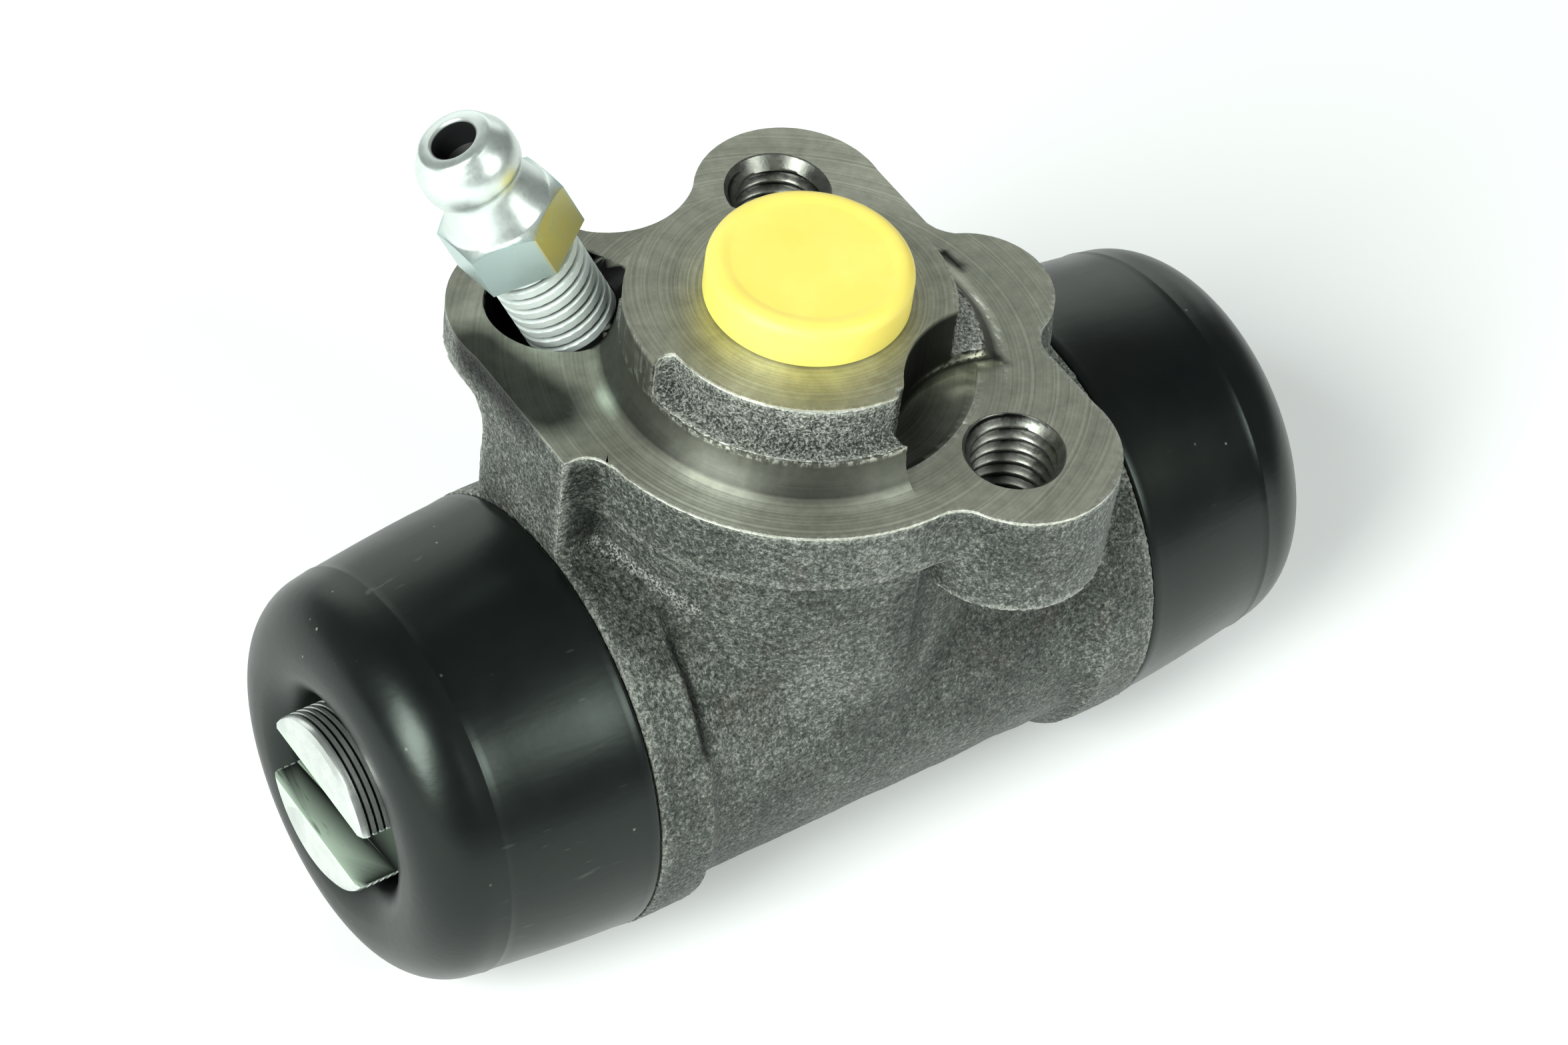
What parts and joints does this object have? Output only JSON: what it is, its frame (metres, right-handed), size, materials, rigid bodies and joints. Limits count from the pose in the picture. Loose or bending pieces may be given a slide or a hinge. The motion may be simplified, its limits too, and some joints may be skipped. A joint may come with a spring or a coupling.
{
  "type": "wheel cylinder",
  "caption": "Drum-brake wheel cylinder: cast iron body with lobed mounting face, slotted pistons in rubber boots, bleed screw and yellow port plug",
  "frame": {"origin": "Midway between the two mounting holes, on the mounting face.", "axes": "+X along the bore from the bleed screw's side to the other, +Z out of the mounting face, +Y toward the bleed screw's side of the bore."},
  "size_m": [0.0672, 0.0361, 0.0509],
  "materials": {
    "iron": "rough as cast, turned mounting face",
    "boot_rubber": "smooth moulded, slightly dusty",
    "plated_steel": "zinc plated, satin",
    "cup_rubber": "smooth moulded",
    "spring_steel": "drawn wire and pressed sheet",
    "plug_plastic": "smooth moulded"
  },
  "bodies": {
    "cylinder": {"cylinder_body": "iron", "left_boot": "boot_rubber", "right_boot": "boot_rubber", "return_spring": "spring_steel", "port_plug": "plug_plastic"},
    "left_piston_set": {"left_piston": "plated_steel", "left_cup": "cup_rubber", "left_expander": "spring_steel"},
    "right_piston_set": {"right_piston": "plated_steel", "right_cup": "cup_rubber", "right_expander": "spring_steel"},
    "bleeder": {"bleed_screw": "plated_steel"}
  },
  "joints": [
    {"name": "left_piston_slide", "type": "slide", "parent": "cylinder", "child": "left_piston_set", "axis": [-1, 0, 0], "range_m": [-0.0015, 0.006], "deforming": ["left_boot", "return_spring"]},
    {"name": "right_piston_slide", "type": "slide", "parent": "cylinder", "child": "right_piston_set", "axis": [1, 0, 0], "range_m": [-0.0015, 0.006], "deforming": ["right_boot", "return_spring"]},
    {"name": "bleed_screw_turn", "type": "hinge", "parent": "cylinder", "child": "bleeder", "pos_m": [-0.0168, 0.0105, 0], "axis": [-0.4145, 0.2204, 0.8829], "range_deg": [0, 180]}
  ]
}
